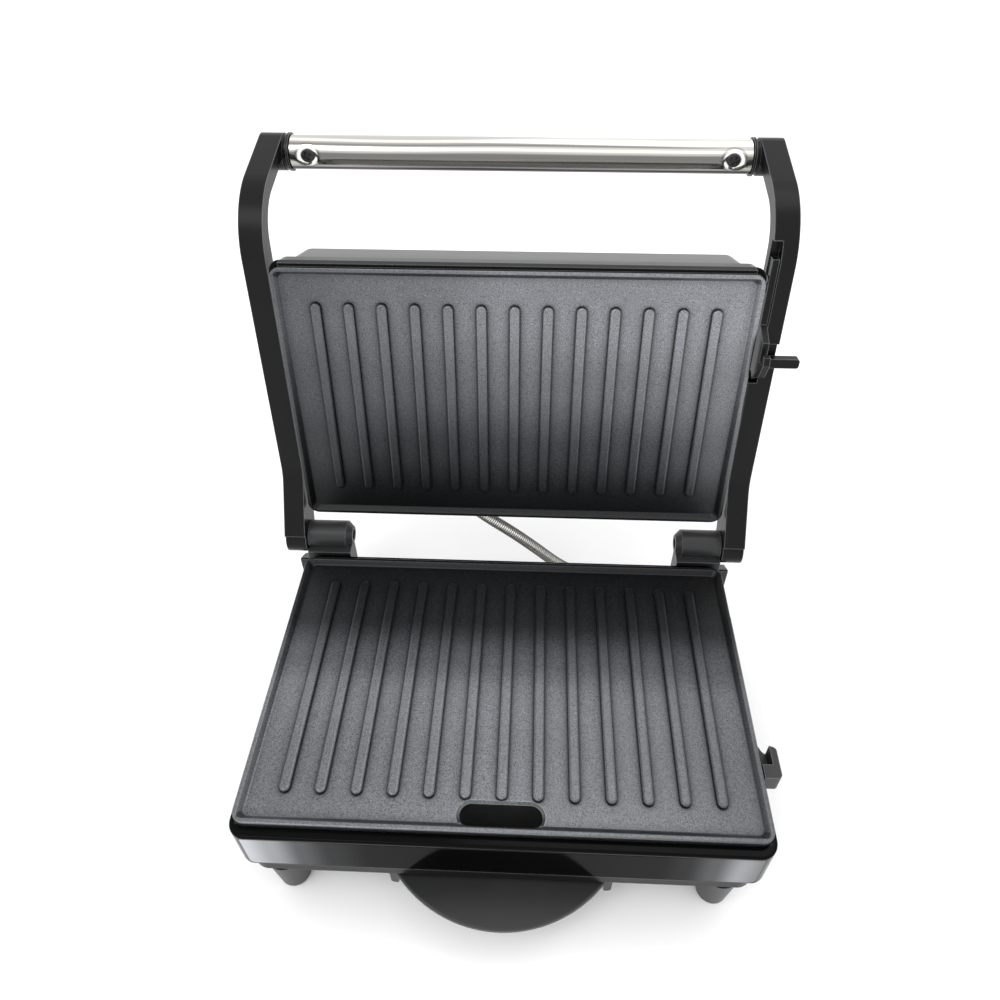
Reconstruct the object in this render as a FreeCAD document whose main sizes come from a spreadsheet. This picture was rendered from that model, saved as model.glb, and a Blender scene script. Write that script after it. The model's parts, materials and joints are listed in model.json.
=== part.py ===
"""Panini press: two ribbed plates, a base on four feet and a lid carried by two arms.

Every piece is modelled with the press closed. X runs along the width, +Y to the back, +Z up, and
the middle of the lower plate's rim is the modelling origin. Placements then open the lid and set
the whole press down on z = 0, centred on its open outline.
"""
import FreeCAD, Part
import math
import os
import re

import Sketcher

Vector = FreeCAD.Vector
doc = FreeCAD.newDocument("PaniniPress")
sheet = doc.addObject("Spreadsheet::Sheet", "Sizes")

DRIVING_SIZES = [
    # grill plates
    ("plate_width", 230.0), ("plate_depth", 145.0), ("plate_corner", 6.0), ("rim_width", 2.0),
    ("flange_height", 3.7), ("well_depth", 2.4), ("web_thickness", 2.6),
    ("lower_tub_inset", 2.0), ("upper_tub_inset", 6.0),
    ("rib_count", 13), ("rib_pitch", 15.9), ("rib_width", 5.2), ("rib_height", 2.0),
    ("lower_rib_front", 14.3), ("lower_rib_back", 14.9), ("upper_rib_front", 18.1),
    ("upper_rib_back", 16.7), ("drain_half", 18.0), ("drain_radius", 5.3), ("drain_front", 0.7),
    ("plate_gap", 0.5),
    # hinge
    ("hinge_y", 88.5), ("hinge_z", 1.0), ("open_angle", 98.0), ("barrel_radius", 8.0),
    ("barrel_inner", 91.5), ("barrel_outer", 116.1), ("ear_reach", 121.5),
    ("pin_radius", 3.0), ("running_gap", 0.05), ("web_screw_x", 102.5), ("web_screw_z", 14.0),
    # base
    ("base_half", 116.5), ("base_front", 77.0), ("base_back", 77.0), ("deck_top", 4.0),
    ("fascia_bottom", 30.8), ("tub_bottom", 38.0), ("foot_bottom", 65.0), ("wall", 2.5),
    ("base_corner", 8.0), ("tub_half", 112.0), ("tub_front", 76.8), ("tub_back", 75.0),
    ("tub_sheet", 1.6), ("fascia_half", 110.5), ("fascia_low", 30.0), ("fascia_top", 6.0),
    ("fascia_recess", 0.7),
    ("foot_x", 98.6), ("foot_front_y", 67.5), ("foot_back_y", 65.5), ("foot_top_radius", 9.6),
    ("foot_tip_radius", 7.2), ("pad_radius", 4.0), ("pad_recess", 1.0),
    ("chute_half", 20.0), ("chute_front", 71.0), ("chute_back", 56.0),
    ("bottom_screw_x", 84.0), ("bottom_screw_y", 44.0), ("thermostat_y", 24.0),
    # drip tray
    ("tray_half", 46.2), ("pan_half", 43.4), ("tray_top", 39.4), ("tray_sheet", 2.6),
    ("pan_bottom", 52.0), ("tray_arc_radius", 62.5), ("tray_arc_y", 34.3), ("pan_front", 74.0),
    ("pan_back", 8.0), ("rail_bottom", 50.0),
    # arms and handle
    ("arm_inner", 116.6), ("arm_outer", 128.0), ("strap_bottom", 5.2), ("strap_top", 15.2),
    ("strap_lean", 2.6),
    ("handle_y", 109.9), ("handle_z", 60.5), ("handle_lobe", 9.0), ("hinge_lobe", 10.0),
    ("tube_radius", 8.2), ("tube_wall", 1.2), ("tube_half", 113.2), ("flange_radius", 9.2),
    ("collar_radius", 8.4), ("spigot_radius", 6.9), ("spigot_end", 94.0), ("screw_x", 104.0),
    # lid and its floating pivots
    ("lid_half", 115.8), ("lid_front", 74.6), ("lid_back", 74.4), ("lid_shoulder", 6.1),
    ("cover_half", 110.0), ("cover_front", 73.0), ("cover_back", 72.0), ("cover_top", 31.0),
    ("cover_step", 10.6), ("cover_side_slope", 0.173), ("cover_front_slope", 0.079),
    ("cover_sheet", 0.8), ("lamp_x", 8.0), ("lamp_y", 58.0), ("pivot_y", 3.5), ("pivot_z", 16.5), ("pivot_radius", 4.0),
    ("pivot_rise", 6.0), ("ear_inner", 113.1), ("ear_half", 12.0), ("boss_radius", 11.3),
    # latch
    ("latch_inner", 117.2), ("latch_outer", 120.4), ("tab_reach", 139.0),
    ("latch_screw_y", 67.5), ("latch_screw_z", 8.0),
    # metal hose and mains inlet
    ("hose_radius", 3.4), ("hose_x", 66.0), ("hose_z", 24.0), ("hose_slot_x", 30.0),
    ("hose_slot_z", 20.5), ("hose_slot_half", 4.2), ("hose_slot_length", 14.4),
    ("inlet_x", 45.0), ("inlet_z", 24.5),
    # where the modelling origin sits in the finished part
    ("shift_x", -5.4), ("shift_y", -44.4), ("shift_z", 65.0),
]
for row, (alias, number) in enumerate(DRIVING_SIZES, 1):
    sheet.set(f"A{row}", alias.replace("_", " "))
    sheet.set(f"B{row}", str(number))
    sheet.setAlias(f"B{row}", alias)
doc.recompute()

nodes = []
BASE = FreeCAD.Placement(
    Vector(sheet.shift_x, sheet.shift_y, sheet.shift_z), FreeCAD.Rotation()
)
LID = BASE.multiply(
    FreeCAD.Placement(
        Vector(),
        FreeCAD.Rotation(Vector(1, 0, 0), -sheet.open_angle),
        Vector(0, sheet.hinge_y, sheet.hinge_z),
    )
)
SIDES = (("left", -1), ("right", 1))


# ---------------------------------------------------------------- helpers
def bound(expression):
    """An expression of size names, as other objects of the document write it."""
    return re.sub(r"[a-z_]\w*", r"Sizes.\g<0>", str(expression))


def value(expression):
    return float(sheet.evalExpression(str(expression)))


def new_body(label, placement=BASE):
    body = doc.addObject("PartDesign::Body", label)
    body.Label = label
    body.Placement = placement
    nodes.append(body)
    return body


def new_sketch(body, role, level=0):
    """A sketch on one of the body's own planes, moved along the plane's normal by level."""
    sketch = body.newObject("Sketcher::SketchObject", body.Label + "_sketch")
    plane = next(f for f in body.Origin.OriginFeatures if f.Role == role)
    sketch.AttachmentSupport = [(plane, "")]
    sketch.MapMode = "FlatFace"
    sketch.setExpression("AttachmentOffset.Base.z", bound(level))
    return sketch


def dimension(sketch, kind, number, *where):
    index = sketch.addConstraint(Sketcher.Constraint(kind, *where, value(number)))
    sketch.setExpression(f"Constraints[{index}]", bound(number))


def fix_point(sketch, geometry, point, x, y):
    dimension(sketch, "DistanceX", x, -1, 1, geometry, point)
    dimension(sketch, "DistanceY", y, -1, 1, geometry, point)


def polygon(sketch, corners):
    """A closed outline whose every corner is dimensioned from the origin."""
    first = sketch.GeometryCount
    points = [Vector(value(x), value(y), 0) for x, y in corners]
    for a, b in zip(points, points[1:] + points[:1]):
        sketch.addGeometry(Part.LineSegment(a, b), False)
    for i, (x, y) in enumerate(corners):
        following = first + (i + 1) % len(corners)
        sketch.addConstraint(Sketcher.Constraint("Coincident", first + i, 2, following, 1))
        fix_point(sketch, first + i, 1, x, y)


def rectangle(sketch, x_low, x_high, y_low, y_high):
    polygon(sketch, [(x_low, y_low), (x_high, y_low), (x_high, y_high), (x_low, y_high)])


def circle(sketch, x, y, radius):
    centre = Vector(value(x), value(y), 0)
    index = sketch.addGeometry(Part.Circle(centre, Vector(0, 0, 1), value(radius)), False)
    fix_point(sketch, index, 3, x, y)
    dimension(sketch, "Radius", radius, index)


def stadium(sketch, x, y_low, y_high, radius, along_x=False):
    """A slot with round ends: centres (x, y_low) and (x, y_high), or swapped when along_x."""
    r = value(radius)
    ends = [Vector(value(x), value(y), 0) for y in (y_low, y_high)]
    if along_x:
        ends = [Vector(e.y, e.x, 0) for e in ends]
    along = (ends[1] - ends[0]).normalize()
    start = math.atan2(along.y, along.x) + math.pi / 2
    index = []
    for n, centre in enumerate(ends):
        ring = Part.Circle(centre, Vector(0, 0, 1), r)
        low = start + n * math.pi
        index.append(sketch.addGeometry(Part.ArcOfCircle(ring, low, low + math.pi), False))
    across = Vector(-along.y, along.x, 0) * r
    for a, b in ((ends[0] + across, ends[1] + across), (ends[1] - across, ends[0] - across)):
        index.append(sketch.addGeometry(Part.LineSegment(a, b), False))
    near, far, top, bottom = index
    for link in ((near, 1, top, 1), (top, 2, far, 2), (far, 1, bottom, 1), (bottom, 2, near, 2)):
        sketch.addConstraint(Sketcher.Constraint("Tangent", *link))
    for arc, y in ((near, y_low), (far, y_high)):
        fix_point(sketch, arc, 3, *((y, x) if along_x else (x, y)))
    dimension(sketch, "Radius", radius, near)


def extrude(body, sketch, length, cut=False, flip=False, taper=0.0):
    """Pad or pocket the sketch, and make sure that it changed the solid the right way."""
    doc.recompute()
    before = body.Shape.Volume if body.Tip else 0.0
    kind = "PartDesign::Pocket" if cut else "PartDesign::Pad"
    feature = body.newObject(kind, body.Label + ("_pocket" if cut else "_pad"))
    feature.Profile = sketch
    feature.setExpression("Length", bound(length))
    feature.Reversed = flip != cut
    feature.TaperAngle = taper
    doc.recompute()
    change = body.Shape.Volume - before
    if (change > -0.01) if cut else (change < 0.01):
        raise RuntimeError(f"{body.Label}: a {kind} changed nothing ({change:.2f})")
    return feature


def block(body, x, y, z, cut=False):
    """A box between the pairs x, y and z of size expressions."""
    sketch = new_sketch(body, "XY_Plane", z[0])
    rectangle(sketch, x[0], x[1], y[0], y[1])
    return extrude(body, sketch, f"({z[1]}) - ({z[0]})", cut=cut)


def dress(body, kind, size, chosen, link_size):
    """Fillet or Chamfer on the edges that chosen(edge) picks."""
    shape = body.Tip.Shape
    names = [f"Edge{i}" for i, edge in enumerate(shape.Edges, 1) if chosen(edge)]
    if not names:
        raise RuntimeError(f"{body.Label}: no edges for a {kind}")
    feature = body.newObject("PartDesign::" + kind, f"{body.Label}_{kind.lower()}")
    feature.Base = (body.Tip if body.Tip != feature else feature.BaseFeature, names)
    feature.setExpression(link_size, bound(size))
    doc.recompute()
    return feature


def fillet(body, radius, chosen):
    return dress(body, "Fillet", radius, chosen, "Radius")


def chamfer(body, size, chosen):
    return dress(body, "Chamfer", size, chosen, "Size")


def along(edge, axis):
    """True for a straight edge along the axis, given as 0, 1 or 2."""
    if not isinstance(edge.Curve, Part.Line):
        return False
    return abs(abs(edge.Curve.Direction[axis]) - 1) < 1e-6


def upright(edge):
    return along(edge, 2)


def at_height(z):
    """A chooser of the edges that lie flat at height z."""
    def chosen(edge):
        box = edge.BoundBox
        return abs(box.ZMin - z) < 1e-4 and abs(box.ZMax - z) < 1e-4
    return chosen


def near_line(y, z):
    """A chooser of the edges along X that pass through (y, z)."""
    def chosen(edge):
        point = edge.Vertexes[0].Point
        return along(edge, 0) and abs(point.y - y) < 0.05 and abs(point.z - z) < 0.05
    return chosen


def side_span(side, inner, outer):
    """Start level and length along X of a piece between |x| = inner and outer on one side."""
    return (inner if side > 0 else f"-({outer})"), f"({outer}) - ({inner})"


def side_pad(body, side, inner, outer, draw, cut=False):
    """Extrude what draw(sketch) outlines in Y and Z, across one side of the press."""
    level, length = side_span(side, inner, outer)
    sketch = new_sketch(body, "YZ_Plane", level)
    draw(sketch)
    return extrude(body, sketch, length, cut=cut)


def revolve(label, outline, axis_x, axis_y, placement=BASE):
    """A body turned about the vertical line through (axis_x, axis_y) from a half outline."""
    body = new_body(label, placement)
    sketch = new_sketch(body, "XZ_Plane", f"-({axis_y})")
    polygon(sketch, [(f"{axis_x} + {r}", z) for r, z in outline])
    turn = body.newObject("PartDesign::Revolution", label + "_turn")
    line = sketch.addGeometry(
        Part.LineSegment(Vector(value(axis_x), -1, 0), Vector(value(axis_x), 1, 0)), True
    )
    sketch.addConstraint(Sketcher.Constraint("Vertical", line))
    dimension(sketch, "DistanceX", axis_x, -1, 1, line, 1)
    turn.Profile = sketch
    turn.ReferenceAxis = (sketch, ["Axis0"])
    turn.Angle = 360.0
    doc.recompute()
    return body


def add_feature(label, shape, placement=BASE):
    feature = doc.addObject("Part::Feature", label)
    feature.Shape = shape
    feature.Placement = placement
    feature.Label = label
    nodes.append(feature)
    return feature


def rod(start, end, radius):
    """A solid cylinder from one point to another."""
    axis = end - start
    return Part.makeCylinder(radius, axis.Length, start, axis)


def screw(point, direction, head_radius=3.0, head=1.6, shank_radius=1.4, shank=8.0):
    """A pan-head screw: the point is under its head, the direction points out of the head."""
    out = direction / direction.Length
    return rod(point, point + out * head, head_radius).fuse(
        rod(point - out * shank, point, shank_radius)
    )


def bent_tube(points, radius, share=0.45):
    """Straight runs joined by tangent arcs, each as large as its two runs allow."""
    edges = []
    radii = []
    start = points[0]
    for before, corner, after in zip(points, points[1:], points[2:]):
        back = before - corner
        on = after - corner
        turn = math.pi - back.getAngle(on)
        cut = share * min(back.Length, on.Length)
        bend = cut / math.tan(turn / 2)
        radii.append(bend)
        first = corner + back.normalize() * cut
        last = corner + on.normalize() * cut
        to_centre = (first + last) / 2 - corner
        reach = bend / math.cos(turn / 2)
        middle = corner + to_centre.normalize() * (reach - bend)
        edges.append(Part.LineSegment(start, first).toShape())
        edges.append(Part.Arc(first, middle, last).toShape())
        start = last
    edges.append(Part.LineSegment(start, points[-1]).toShape())
    wire = Part.Wire(edges)
    ring = Part.Circle(points[0], points[1] - points[0], radius).toShape()
    tube = wire.makePipeShell([Part.Wire([ring])], True, False)
    ratio = tube.Volume / (math.pi * radius**2 * wire.Length)
    print(f"tube {wire.Length:.1f} mm, radii {[round(r, 1) for r in radii]}, volume {ratio:.4f}")
    return tube


# ---------------------------------------------------------------- grill plates
def grill_plate(label, rib_front, rib_back, tub_inset, drained, placement):
    """A cast plate with its food side up: rim, sunk floor, ribs and a tub that drops into
    the shell."""
    body = new_body(label, placement)
    half_x, half_y = "plate_width / 2", "plate_depth / 2"
    block(body, (f"-{half_x}", half_x), (f"-{half_y}", half_y), ("-flange_height", 0))
    fillet(body, "plate_corner", upright)
    tub_x, tub_y = f"({half_x} - {tub_inset})", f"({half_y} - {tub_inset})"
    tub_bottom = "-well_depth - web_thickness"
    block(body, (f"-{tub_x}", tub_x), (f"-{tub_y}", tub_y), (tub_bottom, "-flange_height"))
    well_x, well_y = f"({half_x} - rim_width)", f"({half_y} - rim_width)"
    sketch = new_sketch(body, "XY_Plane", 0)
    rectangle(sketch, f"-{well_x}", well_x, f"-{well_y}", well_y)
    extrude(body, sketch, "well_depth", cut=True, flip=True, taper=-40.0)
    floor = -sheet.well_depth
    fillet(body, 3.5, lambda e: e.BoundBox.ZMin < floor + 1e-4 and e.BoundBox.ZMax > -1e-4)
    fillet(body, 1.0, at_height(floor))
    fillet(body, 0.7, at_height(0.0))

    sketch = new_sketch(body, "XY_Plane", "-well_depth - 0.2")
    stadium(
        sketch, "-6 * rib_pitch", f"{rib_front} + rib_width / 2 - {half_y}",
        f"{half_y} - {rib_back} - rib_width / 2", "rib_width / 2",
    )
    rib = extrude(body, sketch, "rib_height + 0.2")
    pattern = body.newObject("PartDesign::LinearPattern", label + "_ribs")
    pattern.Originals = [rib]
    pattern.Direction = (sketch, ["H_Axis"])
    pattern.setExpression("Length", bound("12 * rib_pitch"))
    pattern.setExpression("Occurrences", bound("rib_count"))
    body.Tip = pattern
    doc.recompute()
    fillet(body, 1.3, at_height(floor + sheet.rib_height))

    if drained:
        middle = f"({half_y} - rim_width - drain_front - drain_radius)"
        sketch = new_sketch(body, "XY_Plane", 0)
        stadium(
            sketch, f"-{middle}", "drain_radius - drain_half", "drain_half - drain_radius",
            "drain_radius", along_x=True,
        )
        extrude(body, sketch, "well_depth + web_thickness + 1", cut=True, flip=True)
        lip = new_sketch(body, "XY_Plane", "-well_depth")
        stadium(
            lip, f"-{middle}", "drain_radius - drain_half", "drain_half - drain_radius",
            "drain_radius + 1.2", along_x=True,
        )
        extrude(body, lip, 1.2, cut=True, flip=True, taper=-44.0)


FLIPPED = LID.multiply(
    FreeCAD.Placement(Vector(0, 0, sheet.plate_gap), FreeCAD.Rotation(Vector(0, 1, 0), 180))
)
grill_plate("lower_plate", "lower_rib_front", "lower_rib_back", "lower_tub_inset", True, BASE)
grill_plate(
    "upper_plate", "upper_rib_front", "upper_rib_back", "upper_tub_inset", False, FLIPPED
)


# ---------------------------------------------------------------- base
def base_housing():
    body = new_body("base_housing")
    outer = ("-base_half", "base_half"), ("-base_front", "base_back")
    block(body, *outer, ("-fascia_bottom", "-deck_top"))
    fillet(body, "base_corner", upright)
    inner = ("wall - base_half", "base_half - wall"), ("wall - base_front", "base_back - wall")
    block(body, *inner, ("-fascia_bottom", "-deck_top - wall"), cut=True)
    opening_x = "(plate_width / 2 - lower_tub_inset + 0.5)"
    opening_y = "(plate_depth / 2 - lower_tub_inset + 0.5)"
    block(
        body, (f"-{opening_x}", opening_x), (f"-{opening_y}", opening_y),
        ("-deck_top - wall", "-deck_top"), cut=True,
    )
    recess = new_sketch(body, "XZ_Plane", "base_front - fascia_recess")
    rectangle(
        recess, "-fascia_half - 0.3", "fascia_half + 0.3", "-fascia_low - 0.3", "0.3 - fascia_top"
    )
    extrude(body, recess, "fascia_recess + 1", cut=True)
    deck = -sheet.deck_top
    fillet(body, 1.2, lambda e: at_height(deck)(e) and e.BoundBox.YMin < -sheet.tub_front)
    for _, side in SIDES:
        pocket = ["arm_inner - 1.2", "base_half + 1"]
        if side < 0:
            pocket = [f"-({pocket[1]})", f"-({pocket[0]})"]
        block(body, pocket, ("43", "base_back + 1"), ("-14", "0"), cut=True)
    sketch = new_sketch(body, "XZ_Plane", "-base_back")
    circle(sketch, "hose_x", "-hose_z", 4.6)
    circle(sketch, "-inlet_x", "-inlet_z", 5.2)
    extrude(body, sketch, "wall + 1", cut=True)


def fascia():
    """The glossy panel let into the front of the housing."""
    body = new_body("front_fascia")
    sketch = new_sketch(body, "XZ_Plane", "base_front - fascia_recess + 0.05")
    rectangle(sketch, "-fascia_half", "fascia_half", "-fascia_low", "-fascia_top")
    extrude(body, sketch, "fascia_recess + 0.1")
    fillet(body, 3.0, lambda e: along(e, 1) and e.BoundBox.ZMax < 1 - sheet.fascia_low)
    front = 0.1 - sheet.base_front
    fillet(body, 0.4, lambda e: e.BoundBox.YMax < front)


def base_tub():
    """The folded steel bottom: its weight keeps the press standing with its lid open."""
    body = new_body("base_bottom")
    top = "-fascia_bottom - 0.4"
    block(body, ("-tub_half", "tub_half"), ("-tub_front", "tub_back"), ("-tub_bottom", top))
    fillet(body, "base_corner", upright)
    fillet(body, 1.4, at_height(-sheet.tub_bottom))
    block(
        body, ("tub_sheet - tub_half", "tub_half - tub_sheet"),
        ("tub_sheet - tub_front", "tub_back - tub_sheet"), ("tub_sheet - tub_bottom", top),
        cut=True,
    )
    gap = "0.4"
    block(
        body, (f"-chute_half - {gap}", f"chute_half + {gap}"),
        (f"-chute_front - {gap}", f"-chute_back + {gap}"),
        ("-tub_bottom", "tub_sheet - tub_bottom"), cut=True,
    )
    vent = new_sketch(body, "XY_Plane", "-tub_bottom")
    for n in range(5):
        for x in (-75, 75):
            stadium(vent, x + (n - 2) * 6, -12, 18, 1.5)
    for x in ("-bottom_screw_x", "bottom_screw_x"):
        for y in ("-bottom_screw_y", "bottom_screw_y"):
            circle(vent, x, y, 2.1)
    extrude(body, vent, "tub_sheet", cut=True)


def drip_chute():
    """A funnel from the drain slot down to the tray."""
    body = new_body("drip_chute")
    top = "-well_depth - web_thickness - 0.3"
    bottom = "-tub_bottom - 0.6"
    block(
        body, ("-chute_half", "chute_half"), ("-chute_front", "-chute_back"), (bottom, top)
    )
    block(
        body, ("1.2 - chute_half", "chute_half - 1.2"),
        ("1.2 - chute_front", "-chute_back - 1.2"), (bottom, top), cut=True,
    )


def feet():
    for place_y, name in (("-foot_front_y", "front"), ("foot_back_y", "back")):
        for word, side in SIDES:
            body = revolve(
                f"{name}_foot_{word}",
                [
                    (0, "-tub_bottom"), ("foot_top_radius", "-tub_bottom"),
                    ("foot_tip_radius", "-foot_bottom"), ("pad_radius", "-foot_bottom"),
                    ("pad_radius", "pad_recess - foot_bottom"), (0, "pad_recess - foot_bottom"),
                ],
                f"{side} * foot_x", place_y,
            )
            bottom = -sheet.foot_bottom
            rim = sheet.foot_tip_radius
            fillet(
                body, 2.2,
                lambda e: at_height(bottom)(e) and e.BoundBox.XLength > 2 * rim - 0.1,
            )
    pads = []
    for y in (-sheet.foot_front_y, sheet.foot_back_y):
        for _, side in SIDES:
            low = Vector(side * sheet.foot_x, y, -sheet.foot_bottom)
            pads.append(rod(low, low + Vector(0, 0, sheet.pad_recess), sheet.pad_radius))
    add_feature("foot_pads", Part.makeCompound(pads))


def hinge_mounts():
    """A bored barrel on a web behind each back corner, with its pin."""
    for word, side in SIDES:
        body = new_body(f"hinge_barrel_{word}")
        side_pad(
            body, side, "barrel_inner", "barrel_outer",
            lambda s: circle(s, "hinge_y", "hinge_z", "barrel_radius"),
        )
        inner_face = side * sheet.barrel_inner
        chamfer(body, 3.2, lambda e: abs(e.BoundBox.Center.x - inner_face) < 1e-3)
        side_pad(
            body, side, "barrel_inner + 0.4", "barrel_outer",
            lambda s: rectangle(s, "base_back + 0.2", "hinge_y", "-22", "hinge_z - 3"),
        )
        side_pad(
            body, side, "barrel_outer - 1", "ear_reach",
            lambda s: polygon(s, [
                ("base_back + 0.2", -22), (86, -22), (86, -13.4), (78.5, -8.8),
                ("base_back + 0.2", -8.8),
            ]),
        )
        side_pad(
            body, side, "barrel_inner - 1", "barrel_outer + 1",
            lambda s: circle(s, "hinge_y", "hinge_z", "pin_radius + 0.02"), cut=True,
        )
        hole = new_sketch(body, "XZ_Plane", "-hinge_y - 1")
        circle(hole, f"{side} * web_screw_x", "-web_screw_z", 1.5)
        extrude(body, hole, 14, cut=True)
        low = Vector(side * (sheet.barrel_inner + 1.5), sheet.hinge_y, sheet.hinge_z)
        shoulder = Vector(side * (sheet.arm_outer - 2.4), low.y, low.z)
        end = Vector(side * (sheet.arm_outer - 0.8), low.y, low.z)
        pin = rod(low, shoulder, sheet.pin_radius).fuse(rod(shoulder, end, 5.0))
        add_feature(f"hinge_pin_{word}", pin)


def base_details():
    """Latch keeper, tray rails, heater, reflector, thermostat, wiring pieces and fasteners."""
    keeper = new_body("latch_keeper")
    inner, outer = "base_half + 0.2", "latch_outer + 4.1"
    front, back, root = "-43", "-28.5", "-19.5"
    sketch = new_sketch(keeper, "XY_Plane", "-14")
    polygon(sketch, [
        (inner, front), (outer, front), (outer, back), ("latch_outer", "-27.5"), (inner, root),
    ])
    extrude(keeper, sketch, 10)
    reach = sheet.latch_outer
    fillet(keeper, 2.2, lambda e: upright(e) and e.BoundBox.XMax > reach + 4)
    fillet(keeper, 4, lambda e: upright(e) and abs(e.BoundBox.XMax - reach) < 0.1)
    block(keeper, (inner, "latch_outer + 1"), ("-41.2", root), ("-12.2", "-6.6"), cut=True)
    block(keeper, (inner, "latch_outer + 1"), ("-36.6", root), ("-6.6", "-4"), cut=True)

    for word, side in SIDES:
        rail = new_body(f"tray_rail_{word}")
        top = "-tub_bottom - 0.05"
        side_pad(
            rail, side, "tray_half + 0.4", "tray_half + 3.8",
            lambda s: rectangle(s, "-tub_front + 1", "-10", "-rail_bottom", top),
        )
        low = -sheet.rail_bottom
        outside = sheet.tray_half + 3.7
        fillet(rail, 2.2, lambda e: at_height(low)(e) and along(e, 1)
               and abs(e.BoundBox.Center.x) > outside)
        side_pad(
            rail, side, "tray_half - 2.2", "tray_half + 0.6",
            lambda s: rectangle(s, "-tub_front + 1", "-10", "-44.6", "-42.6"),
        )

    sheet_pan = new_body("lower_reflector")
    block(sheet_pan, ("-100", "100"), ("-54", "62"), ("-22", "-18"))
    block(sheet_pan, ("-99.2", "99.2"), ("-53.2", "61.2"), ("-21.2", "-18"), cut=True)
    add_feature("lower_heater", heater(-sheet.well_depth - sheet.web_thickness - 3.5))
    face = Vector(0, sheet.thermostat_y, -sheet.well_depth - sheet.web_thickness - 0.2)
    add_feature("lower_thermostat", disc_thermostat(face, Vector(0, 0, -1)))

    block_node = new_body("terminal_block")
    block(block_node, ("-60", "-30"), ("36", "50"), ("tub_sheet - tub_bottom + 0.1", "-26"))
    for n in range(3):
        sketch = new_sketch(block_node, "XY_Plane", "-26")
        circle(sketch, -53 + 8 * n, 43, 2)
        extrude(block_node, sketch, 5, cut=True, flip=True)
    fuse = rod(Vector(22, 40, -25), Vector(36, 40, -25), 2.0)
    legs = rod(Vector(14, 40, -25), Vector(44, 40, -25), 0.5)
    add_feature("thermal_fuse", fuse.fuse(legs))

    for label, x, z, bore, neck in (
        ("hose_gland", sheet.hose_x, -sheet.hose_z, sheet.hose_radius + 0.02, 4.0),
        ("mains_inlet_gland", -sheet.inlet_x, -sheet.inlet_z, 3.4, 8.0),
    ):
        wall_y = sheet.base_back
        stem = 4.5 if label == "hose_gland" else 5.1
        body = rod(Vector(x, wall_y - 5, z), Vector(x, wall_y + neck, z), stem)
        body = body.fuse(rod(Vector(x, wall_y + 0.1, z), Vector(x, wall_y + 2.4, z), 6.8))
        body = body.fuse(rod(Vector(x, wall_y - 5, z), Vector(x, wall_y - 2.6, z), 6.4))
        body = body.cut(rod(Vector(x, wall_y - 6, z), Vector(x, wall_y + neck + 1, z), bore))
        add_feature(label, body)

    down = Vector(0, 0, -1)
    bottom = -sheet.tub_bottom
    spots = [
        (a * sheet.bottom_screw_x, b * sheet.bottom_screw_y) for a in (-1, 1) for b in (-1, 1)
    ]
    screws = [screw(Vector(x, y, bottom - 0.05), down, shank=1.4) for x, y in spots]
    add_feature("bottom_screws", Part.makeCompound(screws))
    rear = [
        Vector(side * sheet.web_screw_x, sheet.hinge_y + 0.1, -sheet.web_screw_z)
        for _, side in SIDES
    ]
    bolts = [screw(point, Vector(0, 1, 0), shank=9.0) for point in rear]
    add_feature("hinge_screws", Part.makeCompound(bolts))


def heater(z):
    """A bent tubular element lying under (or over) a plate."""
    corners = [
        (-25, 60), (-25, 44), (-90, 44), (-90, -46), (90, -46), (90, 44), (25, 44), (25, 60),
    ]
    return bent_tube([Vector(x, y, z) for x, y in corners], 3.2)


def disc_thermostat(face, out):
    body = rod(face, face + out * 5.0, 8.5)
    return body.fuse(rod(face + out * 5.0, face + out * 7.5, 3.0))


base_housing()
fascia()
base_tub()
drip_chute()
feet()
hinge_mounts()
base_details()


# ---------------------------------------------------------------- drip tray
def drip_tray():
    """A pan on two flanges, with a half-round finger lip at the front."""
    body = new_body("drip_tray")
    flange_low = "-tray_top - tray_sheet"
    arc_start = "-tray_arc_y"
    sketch = new_sketch(body, "XY_Plane", flange_low)
    circle(sketch, 0, arc_start, "tray_arc_radius")
    extrude(body, sketch, "tray_sheet")
    for _, side in SIDES:
        cut = ["tray_half", "tray_arc_radius + 1"]
        if side < 0:
            cut = [f"-({cut[1]})", f"-({cut[0]})"]
        block(body, cut, ("-100", "60"), (flange_low, "-tray_top"), cut=True)
    block(body, ("-tray_half - 1", "tray_half + 1"), ("-pan_back", 60), (flange_low, "-tray_top"),
          cut=True)
    block(
        body, ("-pan_half", "pan_half"), ("-pan_front", "-pan_back"), ("-pan_bottom", flange_low)
    )
    fillet(body, 2.0, at_height(-sheet.pan_bottom))
    block(
        body, ("2 - pan_half", "pan_half - 2"), ("2 - pan_front", "-pan_back - 2"),
        ("2 - pan_bottom", "-tray_top"), cut=True,
    )
    top = -sheet.tray_top
    fillet(body, 0.8, lambda e: at_height(top)(e) and e.BoundBox.YMin < -90)


drip_tray()


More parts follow.
